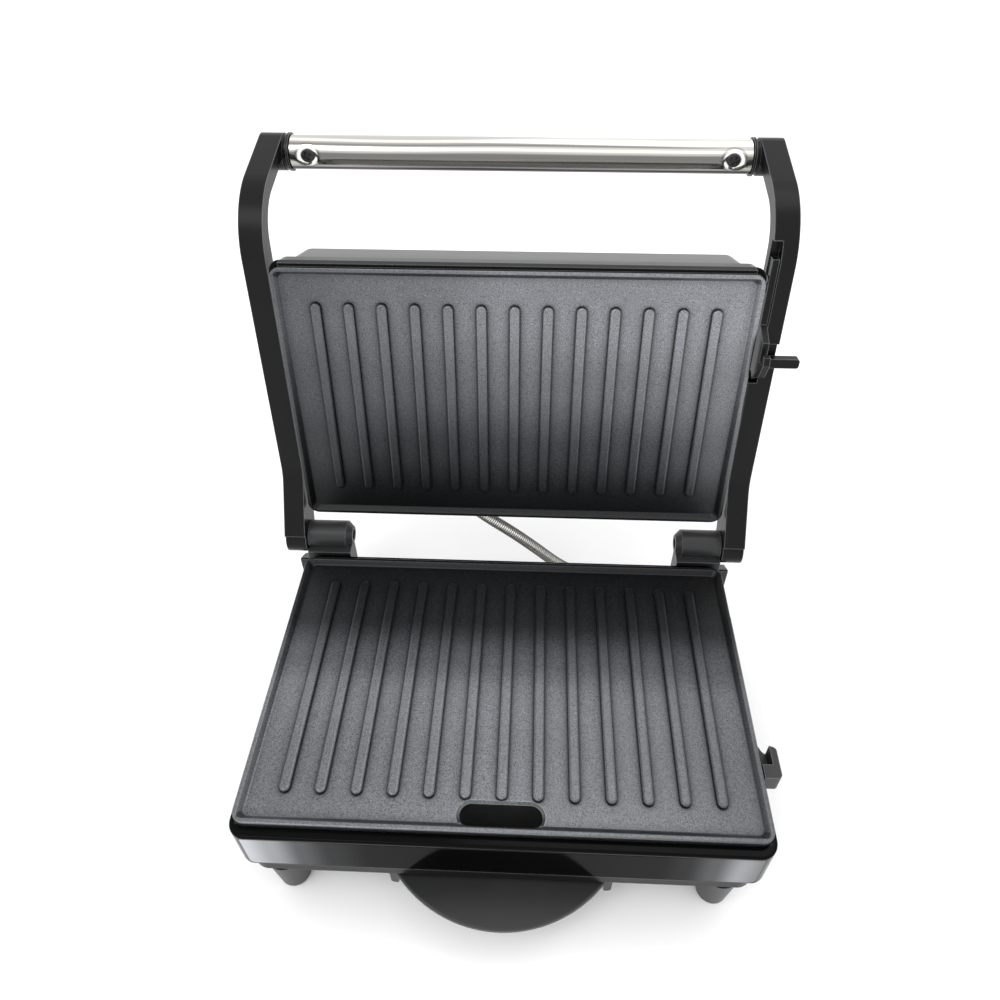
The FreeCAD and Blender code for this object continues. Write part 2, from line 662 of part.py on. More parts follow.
# ---------------------------------------------------------------- arms and handle
def arm(word, side):
    """A strap beside the lid that bends up to the handle, with lobes at hinge and handle."""
    body = new_body(f"arm_{word}", LID)
    inner, outer = "arm_inner", "arm_outer"
    # the handle end of the strap climbs by strap_lean for 1 along, tangent to the handle lobe
    lean = sheet.strap_lean
    lean_y, lean_z = lean / math.hypot(lean, 1), 1 / math.hypot(lean, 1)
    lobe = sheet.handle_lobe
    front_y = -sheet.handle_y - lobe * lean_y
    front_z = sheet.handle_z - lobe * lean_z
    strap = 7.5
    bend_y = front_y + (front_z - sheet.strap_bottom) / lean
    back_y, back_z = front_y + strap * lean_y, front_z + strap * lean_z
    back_bend_y = back_y + (back_z - sheet.strap_top) / lean
    corners = [
        (front_y, front_z), (bend_y, "strap_bottom"), (50, "strap_bottom"), (82.6, -9.4),
        ("hinge_y", "hinge_z"), ("hinge_y", "hinge_z + hinge_lobe"), (62, 16), (22, 16),
        (-42, "strap_top"), (back_bend_y, "strap_top"), (back_y, back_z),
        ("-handle_y", "handle_z"),
    ]
    side_pad(body, side, inner, outer, lambda s: polygon(s, corners))
    bend_z = sheet.strap_bottom
    fillet(body, 36, near_line(bend_y, bend_z))
    fillet(body, 22, near_line(back_bend_y, sheet.strap_top))
    fillet(body, 28, near_line(50, bend_z))
    fillet(body, 20, lambda e: near_line(62, 16)(e) or near_line(22, 16)(e)
           or near_line(-42, sheet.strap_top)(e))
    side_pad(
        body, side, inner, outer, lambda s: circle(s, "-handle_y", "handle_z", "handle_lobe")
    )
    side_pad(body, side, inner, outer, lambda s: circle(s, "hinge_y", "hinge_z", "hinge_lobe"))
    rise = ("pivot_z", "pivot_z + pivot_rise")
    side_pad(
        body, side, inner, outer, lambda s: stadium(s, "-pivot_y", *rise, "boss_radius")
    )
    side_pad(
        body, side, "arm_inner - 1", "arm_outer + 1",
        lambda s: stadium(s, "-pivot_y", *rise, "pivot_radius + running_gap"), cut=True,
    )
    side_pad(
        body, side, "arm_outer - 3.2", "arm_outer + 1",
        lambda s: stadium(s, "-pivot_y", *rise, 6.4), cut=True,
    )
    side_pad(
        body, side, "arm_outer - 1.2", "arm_outer + 1",
        lambda s: stadium(s, "-pivot_y", *rise, 9.6), cut=True,
    )
    side_pad(
        body, side, "arm_inner - 1", "arm_outer + 1",
        lambda s: circle(s, "hinge_y", "hinge_z", "pin_radius + running_gap"), cut=True,
    )
    side_pad(
        body, side, "arm_outer - 2.6", "arm_outer + 1",
        lambda s: circle(s, "hinge_y", "hinge_z", 5.4), cut=True,
    )
    if side > 0:
        # the channel of the latch slide, and the gap that its finger tab moves in
        side_pad(
            body, side, "arm_inner - 1", "latch_outer + 0.4",
            lambda s: rectangle(s, -86, -14, 3, 10.8), cut=True,
        )
        side_pad(
            body, side, "latch_outer + 0.3", "arm_outer + 1",
            lambda s: rectangle(s, -35.5, -22.6, 3, 8.2), cut=True,
        )
        side_pad(
            body, side, "latch_outer", "arm_outer - 2",
            lambda s: circle(s, "-latch_screw_y", "latch_screw_z", 1.15), cut=True,
        )
    return body


def handle():
    centre = Vector(0, -sheet.handle_y, sheet.handle_z)
    across = Vector(1, 0, 0)
    tube_inner = sheet.tube_radius - sheet.tube_wall
    tube = rod(centre - across * sheet.tube_half, centre + across * sheet.tube_half,
               sheet.tube_radius)
    tube = tube.cut(rod(centre - across * 120, centre + across * 120, tube_inner))
    screws = []
    for word, side in SIDES:
        out = across * side
        spigot = rod(centre + out * sheet.spigot_end, centre + out * (sheet.arm_inner - 0.1),
                     sheet.spigot_radius)
        collar = rod(centre + out * (sheet.tube_half + 1.3),
                     centre + out * (sheet.arm_inner - 0.1), sheet.collar_radius)
        washer = rod(centre + out * (sheet.tube_half + 0.1),
                     centre + out * (sheet.tube_half + 1.3), sheet.flange_radius)
        hole_top = centre + out * sheet.screw_x
        hole = rod(hole_top, hole_top - Vector(0, 0, 12), 1.45)
        plug = spigot.fuse(collar).fuse(washer).cut(hole)
        add_feature(f"handle_plug_{word}", plug, LID)
        seat = hole_top - Vector(0, 0, sheet.tube_radius)
        tube = tube.cut(rod(hole_top, seat - Vector(0, 0, 2), 1.8))
        tube = tube.cut(rod(seat + Vector(0, 0, 0.65), seat - Vector(0, 0, 2), 3.3))
        under_head = seat + Vector(0, 0, 0.6)
        screws.append(screw(under_head, Vector(0, 0, -1), 3.1, 1.5, 1.4, 7.5))
        bolt_seat = centre + out * (sheet.arm_outer - 2.0)
        add_feature(
            f"handle_bolt_{word}", screw(bolt_seat, out, 4.2, 1.8, 2.0, 9.3), LID
        )
    add_feature("handle_tube", tube, LID)
    add_feature("handle_screws", Part.makeCompound(screws), LID)


def bore_for_bolt(body, side):
    """The handle bolt's clearance hole and counterbore."""
    side_pad(
        body, side, "arm_inner - 1", "arm_outer + 1",
        lambda s: circle(s, "-handle_y", "handle_z", 2.1), cut=True,
    )
    side_pad(
        body, side, "arm_outer - 2", "arm_outer + 1",
        lambda s: circle(s, "-handle_y", "handle_z", 4.5), cut=True,
    )


def pivot_cap(word, side):
    """A trim plate over the pivot slot, on the outside of the arm."""
    body = new_body(f"pivot_cap_{word}", LID)
    side_pad(
        body, side, "arm_outer - 1.2", "arm_outer + 0.2",
        lambda s: stadium(s, "-pivot_y", "pivot_z", "pivot_z + pivot_rise", 9.4),
    )
    face = side * (sheet.arm_outer + 0.2)
    fillet(body, 0.6, lambda e: abs(e.BoundBox.Center.x - face) < 1e-3)


def pivot_pin(word, side):
    """The headed pin that carries the lid and rides in the arm's slot."""
    inner = Vector(side * 110.9, -sheet.pivot_y, sheet.pivot_z)
    neck = Vector(side * (sheet.arm_outer - 3.0), inner.y, inner.z)
    end = Vector(side * (sheet.arm_outer - 1.4), inner.y, inner.z)
    pin = rod(inner, neck, sheet.pivot_radius).fuse(rod(neck, end, 6.1))
    add_feature(f"pivot_pin_{word}", pin, LID)


for word, side in SIDES:
    bore_for_bolt(arm(word, side), side)
    pivot_cap(word, side)
    pivot_pin(word, side)
handle()


# ---------------------------------------------------------------- latch on the right arm
def latch():
    """A bar in the arm's channel, a hook that reaches down to the keeper, and a finger tab."""
    body = new_body("latch_slide", LID)
    hook = [
        (-78, 5.8), (-78, 10.2), (-20, 10.2), (-20, 5.8), (-17, 4.2), (-23.5, -6.2),
        (-31.5, -10.4), (-35.6, -9.4), (-35.6, -7.2), (-30.6, -7.2), (-30.6, -3.4),
        (-40.2, -3.4), (-45.5, 5.8),
    ]
    side_pad(
        body, 1, "latch_inner", "latch_outer",
        lambda s: polygon(s, hook),
    )
    side_pad(
        body, 1, "latch_outer - 0.5", "tab_reach",
        lambda s: rectangle(s, -28.4, -23.4, 3.4, 7.4),
    )
    tip = sheet.tab_reach
    fillet(body, 1.4, lambda e: abs(e.BoundBox.Center.x - tip) < 1e-3
           and abs(e.BoundBox.ZLength - 4.0) < 1e-3)
    side_pad(
        body, 1, "latch_inner - 1", "latch_outer + 1",
        lambda s: stadium(s, "latch_screw_z", "-latch_screw_y - 0.5", -62, 1.3, along_x=True),
        cut=True,
    )
    seat = Vector(sheet.latch_inner - 0.05, -sheet.latch_screw_y, sheet.latch_screw_z)
    add_feature("latch_screw", screw(seat, Vector(-1, 0, 0), 1.9, 0.5, 1.1, 8.0), LID)


latch()


# ---------------------------------------------------------------- lid
def lid_housing():
    """The black frame that holds the upper plate, with the two pivot ears."""
    body = new_body("lid_housing", LID)
    low = "plate_gap + flange_height + 0.3"
    block(body, ("-lid_half", "lid_half"), ("-lid_front", "lid_back"), (low, "lid_shoulder"))
    fillet(body, "plate_corner", upright)
    block(
        body, ("-110", "110"), ("-lid_front", "-plate_depth / 2 - 0.3"),
        ("plate_gap + 0.4", low),
    )
    top = sheet.lid_shoulder
    edge = sheet.lid_front
    fillet(body, 1.2, lambda e: at_height(top)(e) and e.BoundBox.YMin < 1 - edge)
    inside = "(cover_half + 1.6)", "(cover_front - 0.2)", "(cover_back - 0.2)"
    block(
        body, (f"-{inside[0]}", inside[0]), (f"-{inside[1]}", inside[2]),
        ("lid_shoulder", "cover_step - cover_sheet - 0.3"),
    )
    fillet(body, 5, lambda e: upright(e) and e.BoundBox.ZMin > top - 1e-4)
    opening_x = "(plate_width / 2 - upper_tub_inset + 0.5)"
    opening_y = "(plate_depth / 2 - upper_tub_inset + 0.5)"
    shelf = "plate_gap + well_depth + web_thickness + 0.2"
    block(
        body, (f"-{opening_x}", opening_x), (f"-{opening_y}", opening_y), (low, shelf), cut=True,
    )
    block(body, ("-105", "105"), ("-62", "62"), (shelf, "cover_step"), cut=True)
    for _, side in SIDES:
        side_pad(
            body, side, "ear_inner", "lid_half",
            lambda s: polygon(s, [
                ("-pivot_y - ear_half", "lid_shoulder - 1"),
                ("-pivot_y + ear_half", "lid_shoulder - 1"),
                ("-pivot_y + 6", "pivot_z + 7"), ("-pivot_y - 6", "pivot_z + 7"),
            ]),
        )
        side_pad(
            body, side, "ear_inner - 1", "lid_half + 1",
            lambda s: circle(s, "-pivot_y", "pivot_z", "pivot_radius + running_gap"), cut=True,
        )


def hose_slot(sketch, radius):
    """The upright slot in the cover's back wall that the wire hose enters through."""
    reach = "(hose_slot_length / 2 - hose_slot_half)"
    stadium(
        sketch, "-hose_slot_x", f"hose_slot_z - {reach}", f"hose_slot_z + {reach}", radius
    )


def cover_wedge(body, inset, low, top, cut):
    """The leaning walls of the cover, or their inside when cut, between two heights."""
    kind = "PartDesign::SubtractiveWedge" if cut else "PartDesign::AdditiveWedge"
    wedge = body.newObject(kind, body.Label + "_wedge")
    plane = next(f for f in body.Origin.OriginFeatures if f.Role == "XZ_Plane")
    wedge.AttachmentSupport = [(plane, "")]
    wedge.MapMode = "FlatFace"
    limits = {"Ymin": low, "Ymax": top}
    for mark, level in (("", low), ("2", top)):
        climb = f"({level} - cover_step)"
        side = f"(cover_half - {inset} - {climb} * cover_side_slope)"
        lean = f"({inset} + {climb} * cover_front_slope)"
        limits[f"X{mark}min"] = f"-{side}"
        limits[f"X{mark}max"] = side
        limits[f"Z{mark}min"] = f"{lean} - cover_back"
        limits[f"Z{mark}max"] = f"cover_front - {lean}"
    for name, expression in limits.items():
        wedge.setExpression(name, bound(expression))
    doc.recompute()


def lid_cover():
    """The drawn steel cover: a stepped flange on the frame, and walls that lean in to the top."""
    body = new_body("lid_cover", LID)
    low = "lid_shoulder + 0.05"
    skirt_x = "(cover_half + 2.8)"
    skirt_front, skirt_back = "(cover_front + 1.1)", "(cover_back + 1)"
    block(
        body, (f"-{skirt_x}", skirt_x), (f"-{skirt_front}", skirt_back), (low, "cover_step")
    )
    fillet(body, 5, upright)
    cover_wedge(body, "0", "cover_step", "cover_top", False)
    block(
        body, (f"cover_sheet - {skirt_x}", f"{skirt_x} - cover_sheet"),
        (f"cover_sheet - {skirt_front}", f"{skirt_back} - cover_sheet"),
        (low, "cover_step - cover_sheet"), cut=True,
    )
    cover_wedge(body, "cover_sheet", "cover_step - cover_sheet", "cover_top - cover_sheet", True)
    thickness, top, half = sheet.cover_sheet, sheet.cover_top, sheet.cover_half
    climb = top - sheet.cover_step - 1
    for inset in (0, thickness):
        reach = half - inset
        fillet(body, 6 - inset, lambda e: len(e.Vertexes) == 2 and e.BoundBox.ZLength > climb
               and abs(max(-e.BoundBox.XMin, e.BoundBox.XMax) - reach) < 0.3)
    for inset in (0, thickness):
        fillet(body, 2.8 - inset, at_height(top - inset))
    sketch = new_sketch(body, "XZ_Plane", "-cover_back - 2")
    hose_slot(sketch, "hose_slot_half + 1.1")
    extrude(body, sketch, 9, cut=True)
    sketch = new_sketch(body, "XY_Plane", "cover_top + 1")
    for x in ("-lamp_x", "lamp_x"):
        circle(sketch, x, "-lamp_y", 3.05)
    extrude(body, sketch, 6, cut=True, flip=True)


def lid_details():
    top = sheet.cover_top
    plate_back = sheet.plate_gap + sheet.well_depth + sheet.web_thickness
    for name, x in (("power_lamp", -sheet.lamp_x), ("ready_lamp", sheet.lamp_x)):
        low = Vector(x, -sheet.lamp_y, top - 4)
        lens = rod(low, low + Vector(0, 0, 5.0), 3.0)
        lens = lens.fuse(rod(low, low + Vector(0, 0, 2.6), 4.4))
        add_feature(name, lens, LID)
    add_feature("upper_heater", heater(plate_back + 3.5), LID)
    add_feature(
        "upper_thermostat",
        disc_thermostat(Vector(0, sheet.thermostat_y, plate_back + 0.2), Vector(0, 0, 1)), LID,
    )
    pan = new_body("upper_reflector", LID)
    block(pan, ("-98", "98"), ("-53", "54"), ("plate_gap + 17", "plate_gap + 19.5"))
    block(pan, ("-97.2", "97.2"), ("-52.2", "53.2"), ("plate_gap + 17", "plate_gap + 18.7"),
          cut=True)
    grommet = new_body("hose_grommet", LID)
    sketch = new_sketch(grommet, "XZ_Plane", "-cover_back - 0.6")
    hose_slot(sketch, "hose_slot_half + 1")
    hose_slot(sketch, "hose_slot_half")
    extrude(grommet, sketch, 7)


lid_housing()
lid_cover()
lid_details()


# ---------------------------------------------------------------- metal hose
def metal_hose():
    """The hose that carries the lid's wires, from the base gland up into the lid's slot."""
    x, z = sheet.hose_x, -sheet.hose_z
    route = [
        Vector(x, sheet.base_back - 4, z), Vector(x, 89, z), Vector(58, 98, -39),
        Vector(36, 102, -46), Vector(4, 102.5, -13), Vector(-20, 106.3, 3),
        Vector(-sheet.hose_slot_x, 109.3, 12.2), Vector(-sheet.hose_slot_x, 111.2, 23.8),
    ]
    add_feature("wire_hose", bent_tube(route, sheet.hose_radius))


metal_hose()

# ---------------------------------------------------------------- checks and export
doc.recompute()
broken = [o.Label for o in doc.Objects if {"Invalid", "Error"} & set(o.State)]
bad = [n.Label for n in nodes if n.Shape.isNull() or not n.Shape.isValid()]
if broken or bad:
    raise RuntimeError(f"failed objects {broken}, bad shapes {bad}")
os.makedirs("parts", exist_ok=True)
for node in nodes:
    node.Shape.exportStep(f"parts/{node.Label}.step")
whole = Part.makeCompound([node.Shape for node in nodes]).BoundBox
print(len(nodes), "nodes; box", [round(v, 2) for v in (
    whole.XMin, whole.YMin, whole.ZMin, whole.XMax, whole.YMax, whole.ZMax)])
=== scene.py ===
"""Panini press, open, in a plain white studio.

The CAD nodes keep their meshes and get procedural materials. The handle tube, the screws with
visible heads and the wire hose are replaced by detailed pieces made here.
"""
import json
import math

import bmesh
import bpy
from mathutils import Matrix, Vector


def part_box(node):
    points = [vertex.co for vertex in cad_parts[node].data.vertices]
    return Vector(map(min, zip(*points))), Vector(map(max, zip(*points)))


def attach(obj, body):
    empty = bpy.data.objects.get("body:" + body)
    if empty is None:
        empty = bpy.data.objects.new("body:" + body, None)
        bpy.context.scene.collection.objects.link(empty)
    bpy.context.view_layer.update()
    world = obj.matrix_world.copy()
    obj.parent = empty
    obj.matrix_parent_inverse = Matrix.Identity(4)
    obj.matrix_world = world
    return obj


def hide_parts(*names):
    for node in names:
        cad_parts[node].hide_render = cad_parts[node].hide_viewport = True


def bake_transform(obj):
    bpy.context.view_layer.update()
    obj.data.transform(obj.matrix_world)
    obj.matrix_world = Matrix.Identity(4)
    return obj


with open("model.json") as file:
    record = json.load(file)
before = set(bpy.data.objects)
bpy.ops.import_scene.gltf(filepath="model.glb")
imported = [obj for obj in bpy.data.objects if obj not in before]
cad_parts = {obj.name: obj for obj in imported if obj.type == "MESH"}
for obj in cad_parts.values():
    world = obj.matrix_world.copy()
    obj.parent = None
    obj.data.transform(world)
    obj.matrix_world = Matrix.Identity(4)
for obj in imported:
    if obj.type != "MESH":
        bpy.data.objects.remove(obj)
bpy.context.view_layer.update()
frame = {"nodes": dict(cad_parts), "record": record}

NODES = frame["nodes"]
MM = 0.001


def node_box(name):
    low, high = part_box(name)
    return Vector(low), Vector(high)


# The modelling origin of the CAD part: the middle of the lower plate's rim.
PLATE_LOW, PLATE_HIGH = node_box("lower_plate")
ORIGIN = Vector(((PLATE_LOW.x + PLATE_HIGH.x) / 2, (PLATE_LOW.y + PLATE_HIGH.y) / 2, PLATE_HIGH.z))

# The lid stands open by this angle about the hinge, which closes it at zero.
HINGE = ORIGIN + Vector((0, 88.5, 1.0)) * MM
OPEN_ANGLE = math.radians(98.0)


def at(x, y, z):
    """A point of the base given in millimetres from the modelling origin."""
    return ORIGIN + Vector((x, y, z)) * MM


def on_lid(x, y, z):
    """A point given in millimetres on the closed lid, where it lies with the lid open."""
    turn = Matrix.Rotation(-OPEN_ANGLE, 4, "X")
    return HINGE + turn @ (at(x, y, z) - HINGE)


def lid_direction(x, y, z):
    return Matrix.Rotation(-OPEN_ANGLE, 3, "X") @ Vector((x, y, z))


# ---------------------------------------------------------------- camera
def make_camera():
    azimuth, elevation, roll = (math.radians(v) for v in (-2.53, 41.25, -0.35))
    forward = Vector((
        math.sin(azimuth) * math.cos(elevation),
        math.cos(azimuth) * math.cos(elevation),
        -math.sin(elevation),
    ))
    level = Vector((math.cos(azimuth), -math.sin(azimuth), 0))
    above = level.cross(forward)
    right = level * math.cos(roll) + above * math.sin(roll)
    up = above * math.cos(roll) - level * math.sin(roll)
    data = bpy.data.cameras.new("camera")
    data.sensor_width = 36.0
    data.lens = 28.19
    data.shift_x = -0.007
    data.shift_y = -0.0656
    data.clip_start, data.clip_end = 0.01, 20
    camera = bpy.data.objects.new("camera", data)
    turn = Matrix((right, up, -forward)).transposed().to_4x4()
    camera.matrix_world = Matrix.Translation(at(10.0, -208.2, 340.7)) @ turn
    bpy.context.scene.collection.objects.link(camera)
    bpy.context.scene.camera = camera


# ---------------------------------------------------------------- materials
class Shader:
    """A Principled material whose colour, roughness and bump are built from node patterns."""

    def __init__(self, name, rough, metal=0.0, specular=0.5, coat=0.0, coat_rough=0.1):
        self.material = bpy.data.materials.new(name)
        self.material.use_nodes = True
        self.tree = self.material.node_tree
        self.main = self.tree.nodes["Principled BSDF"]
        for socket, number in (
            ("Roughness", rough), ("Metallic", metal), ("Specular IOR Level", specular),
            ("Coat Weight", coat), ("Coat Roughness", coat_rough),
        ):
            self.main.inputs[socket].default_value = number
        self.place = self.add("ShaderNodeTexCoord").outputs["Object"]
        self.normal = None

    def add(self, kind, **settings):
        node = self.tree.nodes.new(kind)
        for name, setting in settings.items():
            setattr(node, name, setting)
        return node

    def link(self, source, target):
        self.tree.links.new(source, target)

    def noise(self, scale, detail=2.0, roughness=0.5, stretch=(1, 1, 1)):
        """Noise with features about 1 / scale metres large, drawn out where stretch is small."""
        mapping = self.add("ShaderNodeMapping")
        mapping.inputs["Scale"].default_value = stretch
        self.link(self.place, mapping.inputs["Vector"])
        node = self.add("ShaderNodeTexNoise")
        node.inputs["Scale"].default_value = scale
        node.inputs["Detail"].default_value = detail
        node.inputs["Roughness"].default_value = roughness
        self.link(mapping.outputs["Vector"], node.inputs["Vector"])
        return node.outputs["Fac"]

    def spots(self, scale):
        """Round cells: the distance from each cell's middle, in cell sizes."""
        node = self.add("ShaderNodeTexVoronoi")
        node.inputs["Scale"].default_value = scale
        self.link(self.place, node.inputs["Vector"])
        return node.outputs["Distance"]

    def span(self, source, low, high, out_low=0.0, out_high=1.0):
        """The source's range low..high mapped, clamped, to out_low..out_high."""
        node = self.add("ShaderNodeMapRange")
        for socket, number in (
            ("From Min", low), ("From Max", high), ("To Min", out_low), ("To Max", out_high)
        ):
            node.inputs[socket].default_value = number
        self.link(source, node.inputs["Value"])
        return node.outputs["Result"]

    def maths(self, operation, a, b):
        node = self.add("ShaderNodeMath", operation=operation)
        for socket, number in zip(node.inputs, (a, b)):
            if isinstance(number, (int, float)):
                socket.default_value = number
            else:
                self.link(number, socket)
        return node.outputs["Value"]

    def mix(self, factor, a, b):
        """The colour a where factor is 0, b where it is 1."""
        node = self.add("ShaderNodeMix", data_type="RGBA")
        self.link(factor, node.inputs["Factor"])
        for name, colour in (("A", a), ("B", b)):
            socket = next(s for s in node.inputs if s.name == name and s.type == "RGBA")
            if isinstance(colour, tuple):
                socket.default_value = (*colour, 1)
            else:
                self.link(colour, socket)
        return next(s for s in node.outputs if s.type == "RGBA")

    def rims(self, radius, low=0.02, high=0.2):
        """1 along edges sharper than the radius in millimetres, 0 on flat and curved faces."""
        bevel = self.add("ShaderNodeBevel", samples=4)
        bevel.inputs["Radius"].default_value = radius * MM
        node = self.add("ShaderNodeVectorMath", operation="DOT_PRODUCT")
        self.link(bevel.outputs["Normal"], node.inputs[0])
        self.link(self.add("ShaderNodeNewGeometry").outputs["Normal"], node.inputs[1])
        return self.span(node.outputs["Value"], 1 - low, 1 - high)

    def open_sky(self, distance, low, high):
        """0 deep in corners closer than distance millimetres, 1 on open surfaces."""
        node = self.add("ShaderNodeAmbientOcclusion", samples=6)
        node.inputs["Distance"].default_value = distance * MM
        return self.span(node.outputs["AO"], low, high)

    def facing(self, axis, low, high):
        """1 where the piece's own surface faces along the axis, 0 or 1 or 2."""
        split = self.add("ShaderNodeSeparateXYZ")
        self.link(self.add("ShaderNodeTexCoord").outputs["Normal"], split.inputs["Vector"])
        return self.span(split.outputs[axis], low, high)

    def towards(self, direction):
        """1 where the piece's own surface faces along the direction, -1 where it faces away."""
        node = self.add("ShaderNodeVectorMath", operation="DOT_PRODUCT")
        node.inputs[1].default_value = Vector(direction).normalized()
        self.link(self.add("ShaderNodeTexCoord").outputs["Normal"], node.inputs[0])
        return node.outputs["Value"]

    def position(self, axis):
        """The place along the axis, 0 or 1 or 2, in millimetres of the row frame."""
        split = self.add("ShaderNodeSeparateXYZ")
        self.link(self.place, split.inputs["Vector"])
        return self.maths("MULTIPLY", split.outputs[axis], 1 / MM)

    def ramp(self, source, low, high, stops, tint=(1, 1, 1)):
        """A grey scale over low..high through (place, level) stops, tinted."""
        node = self.add("ShaderNodeValToRGB")
        band = node.color_ramp
        band.interpolation = "EASE"
        while len(band.elements) < len(stops):
            band.elements.new(0.5)
        for element, (place, level) in zip(band.elements, stops):
            element.position = (place - low) / (high - low)
            element.color = (*(level * t for t in tint), 1)
        self.link(self.span(source, low, high), node.inputs["Fac"])
        return node.outputs["Color"]

    def times(self, colour, other):
        node = self.add("ShaderNodeMix", data_type="RGBA", blend_type="MULTIPLY")
        node.inputs["Factor"].default_value = 1.0
        for name, source in (("A", colour), ("B", other)):
            self.link(source, next(t for t in node.inputs if t.name == name and t.type == "RGBA"))
        return next(t for t in node.outputs if t.type == "RGBA")

    def colour(self, source):
        self.link(source, self.main.inputs["Base Color"])

    def roughness(self, source, low, high, out_low, out_high):
        self.link(self.span(source, low, high, out_low, out_high), self.main.inputs["Roughness"])

    def bump(self, source, height, strength=1.0):
        """Adds relief: height is the step in millimetres between source values 0 and 1."""
        node = self.add("ShaderNodeBump")
        node.inputs["Distance"].default_value = height * MM
        node.inputs["Strength"].default_value = strength
        self.link(source, node.inputs["Height"])
        if self.normal:
            self.link(self.normal, node.inputs["Normal"])
        self.normal = node.outputs["Normal"]
        self.link(self.normal, self.main.inputs["Normal"])


def grey(level, blue=1.05):
    """A grey that leans to blue, or is neutral when blue is 1."""
    return (level * (1.5 - blue / 2), level, level * blue)


def nonstick(name, axis, stops, across, streaked=False):
    """Sprayed non-stick coating: fine light specks on dark grey, with a painted highlight along
    its sharp edges.

    The stops (millimetres along the axis, level) paint shade and reflection on it from the free
    edge to the hinge side, and the second ones from left to right. Streaks run along the front of
    a streaked plate.
    """
    s = Shader(name, 0.32, metal=0.8, specular=0.5, coat=0.05, coat_rough=0.2)
    fine = s.noise(2100, detail=3.0, roughness=0.6)
    patches = s.noise(45, detail=2.0)
    body = s.mix(s.span(fine, 0.34, 0.68), grey(0.07, 1.08), grey(0.225, 1.08))
    body = s.mix(s.span(patches, 0.3, 0.7, 0.0, 0.25), body, grey(0.11))
    specks = s.span(s.spots(700), 0.15, 0.10)
    body = s.mix(s.maths("MULTIPLY", specks, 0.3), body, grey(0.4))
    # Painted shade and reflection: levels along the axis and across multiply the colour.
    for shaded, shades in ((axis, stops), (0, across)):
        low, high = shades[0][0], shades[-1][0]
        body = s.times(body, s.ramp(s.position(shaded), low, high, shades))
    # Painted highlight: the sharp edges of the rim and ribs are lightened.
    body = s.mix(s.maths("MULTIPLY", s.rims(0.6, 0.01, 0.08), 0.5), body, grey(0.5))
    # Painted shade: corners and the feet of the ribs darken to near black.
    s.colour(s.mix(s.open_sky(5.0, 0.58, 0.96), grey(0.001), body))
    s.roughness(fine, 0.3, 0.7, 0.27, 0.38)
    s.bump(fine, 0.035, 0.5)
    if streaked:
        streaks = s.noise(500, detail=4.0, roughness=0.7, stretch=(0.05, 1, 1.6))
        skirt = s.facing(1, -0.6, -0.95)
        s.bump(s.maths("MULTIPLY", streaks, skirt), 0.35, 0.6)
    return s.material


def moulded(name, level, rough, grain=0.02, specular=0.5, coat=0.0, edge_highlight=0.2):
    """Moulded black plastic: a faint fine grain, soft cloudy gloss and painted highlights along
    its sharp edges.
    """
    s = Shader(name, rough, specular=specular, coat=coat, coat_rough=0.06)
    clouds = s.noise(28, detail=3.0)
    fine = s.noise(2600, detail=2.0)
    body = s.mix(s.span(clouds, 0.3, 0.7), grey(level * 0.88), grey(level * 1.15))
    # Painted highlight: the sharp edges are lightened toward a light grey.
    body = s.mix(s.maths("MULTIPLY", s.rims(0.75), 0.8), body, grey(edge_highlight))
    # Painted shade: corners and crevices darken to near black.
    s.colour(s.mix(s.open_sky(3.0, 0.2, 0.6), grey(0.0008), body))
    s.roughness(clouds, 0.3, 0.7, rough - 0.03, rough + 0.04)
    s.bump(fine, grain, 0.5)
    return s.material


def fascia_gloss(name):
    """High gloss black with a painted reflection that lightens it towards both ends, where it
    bends away.
    """
    s = Shader(name, 0.1, specular=0.015)
    across = s.position(0)
    # Painted reflection: levels across the width, dark in the middle and light near both ends.
    ends = [(-116, 0.5), (-104, 0.28), (-91, 0.08), (-78, 0.025), (-60, 0.003), (-30, 0.001),
            (30, 0.002), (62, 0.005), (74, 0.02), (86, 0.09), (97, 0.3), (109, 0.15)]
    body = s.ramp(across, -120, 120, ends)
    clouds = s.noise(28, detail=3.0)
    body = s.times(body, s.mix(s.span(clouds, 0.3, 0.7), grey(0.85), grey(1.0)))
    # Painted highlight along the sharp edges.
    s.colour(s.mix(s.maths("MULTIPLY", s.rims(0.6), 0.6), body, grey(0.3)))
    s.roughness(clouds, 0.3, 0.7, 0.08, 0.13)
    s.bump(s.noise(2600), 0.003, 0.4)
    return s.material


def drawn_tube(name, direction, stops, rough=0.14, metal=1.0):
    """Polished tube: soft bands of painted reflection run along it, by how far its surface leans
    to the direction.
    """
    s = Shader(name, rough, metal=metal, specular=0.5)
    lines = s.noise(1800, detail=3.0, roughness=0.6, stretch=(0.012, 1, 1))
    waves = s.noise(22, detail=1.0, stretch=(0.4, 1, 1))
    lean = s.maths("ADD", s.towards(direction), s.span(waves, 0.3, 0.7, -0.06, 0.06))
    bands = s.ramp(lean, -1, 1, stops, (1.02, 1.0, 0.94))
    body = s.times(bands, s.mix(s.span(lines, 0.35, 0.65), grey(0.93, 1), grey(1.0, 1)))
    # The point attribute paints a light ring of highlight where it is 1 and the near black shade
    # of a groove where it is -1.
    ring = s.add("ShaderNodeAttribute", attribute_name=SHADE).outputs["Fac"]
    body = s.mix(s.span(ring, 0, 1), body, (0.95, 0.94, 0.91))
    s.colour(s.mix(s.span(ring, 0, -1), body, grey(0.01)))
    s.roughness(lines, 0.3, 0.7, rough * 0.8, rough * 1.25)
    s.bump(lines, 0.008, 0.4)
    return s.material


